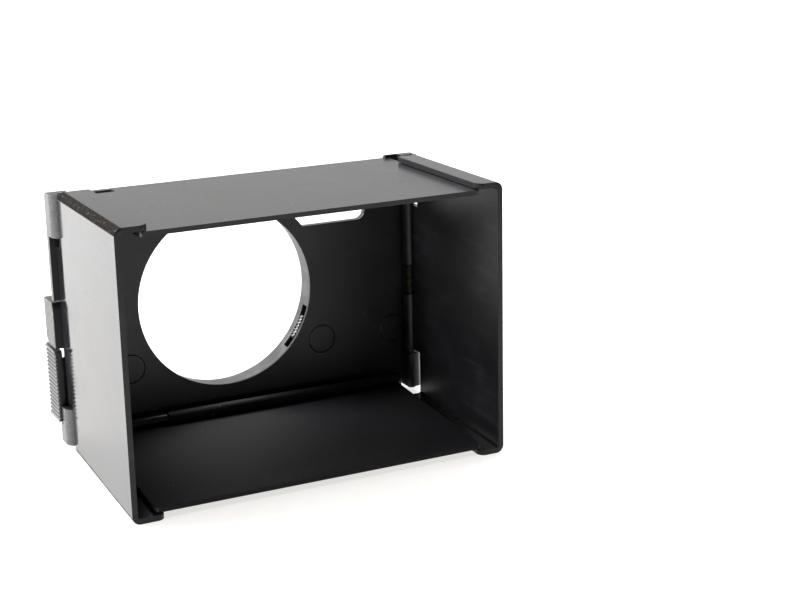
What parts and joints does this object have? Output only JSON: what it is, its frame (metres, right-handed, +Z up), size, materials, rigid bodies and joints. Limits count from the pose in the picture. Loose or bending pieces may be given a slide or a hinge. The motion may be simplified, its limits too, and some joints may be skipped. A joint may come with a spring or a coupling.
{
  "type": "folding rectangular lens hood",
  "caption": "Folding rectangular lens hood in black sheet metal, with hinged flaps on a back plate and a spring clamp that grips a lens rim.",
  "frame": {"origin": "on the lens axis, in the stop plane where the front of the lens rim comes to rest, 0.5 mm behind the back plate's front face", "axes": "+X to the right as seen from the front of the hood, +Y back towards the lens along its axis, +Z up towards the top flap"},
  "size_m": [0.0818, 0.0484, 0.0557],
  "materials": {
    "gloss_enamel": "glossy black enamel on sheet brass, worn to brown along the bends",
    "satin_black": "satin black lacquer",
    "blackened_collar": "matt black, rubbed inside",
    "worn_pad": "black enamel rubbed to bare metal on the edges and ribs",
    "bright_steel": "plain stamped steel",
    "pin_steel": "blackened steel wire",
    "spring_steel": "spring wire",
    "screw_steel": "blackened, bright in the slots",
    "sleeve_brass": "spring brass, partly blackened"
  },
  "bodies": {
    "frame": {"back_plate": "satin_black", "lens_collar": "blackened_collar", "rear_cover": "satin_black", "guide_posts": "satin_black", "cover_screws": "screw_steel", "left_finger_rest": "worn_pad", "right_finger_rest": "worn_pad", "left_hinge_pin": "pin_steel", "right_hinge_pin": "pin_steel", "top_hinge_pin": "pin_steel", "bottom_hinge_pin": "pin_steel", "left_friction_sleeve": "sleeve_brass", "right_friction_sleeve": "sleeve_brass", "top_friction_sleeve": "sleeve_brass", "bottom_friction_sleeve": "sleeve_brass", "left_clamp_spring": "spring_steel", "right_clamp_spring": "spring_steel"},
    "left_side": {"left_flap": "gloss_enamel"},
    "right_side": {"right_flap": "gloss_enamel"},
    "top": {"top_flap": "satin_black"},
    "bottom": {"bottom_flap": "satin_black"},
    "left_pad_slide_group": {"left_thumb_pad": "worn_pad", "left_clamp_slider": "bright_steel", "right_claw": "bright_steel"},
    "right_pad_slide_group": {"right_thumb_pad": "worn_pad", "right_clamp_slider": "bright_steel", "left_claw": "bright_steel"}
  },
  "joints": [
    {"name": "top_flap_hinge", "type": "hinge", "parent": "frame", "child": "top", "pos_m": [0.004, -0.002, 0.0233], "axis": [1, 0, 0], "range_deg": [0, 90]},
    {"name": "bottom_flap_hinge", "type": "hinge", "parent": "frame", "child": "bottom", "pos_m": [0.004, -0.00325, -0.02331], "axis": [-1, 0, 0], "range_deg": [0, 93]},
    {"name": "left_flap_hinge", "type": "hinge", "parent": "frame", "child": "left_side", "pos_m": [-0.03355, -0.0029, 0], "axis": [0, 0, 1], "range_deg": [0, 5]},
    {"name": "right_flap_hinge", "type": "hinge", "parent": "frame", "child": "right_side", "pos_m": [0.04155, -0.0029, 0], "axis": [0, 0, -1], "range_deg": [0, 5]},
    {"name": "left_pad_slide", "type": "slide", "parent": "frame", "child": "left_pad_slide_group", "axis": [1, 0, 0], "range_m": [0, 0.0015], "stiffness_N_per_m": 400, "springref_m": -0.002, "deforming": ["left_clamp_spring"]},
    {"name": "right_pad_slide", "type": "slide", "parent": "frame", "child": "right_pad_slide_group", "axis": [-1, 0, 0], "range_m": [0, 0.0015], "stiffness_N_per_m": 400, "springref_m": -0.002, "deforming": ["right_clamp_spring"]}
  ]
}
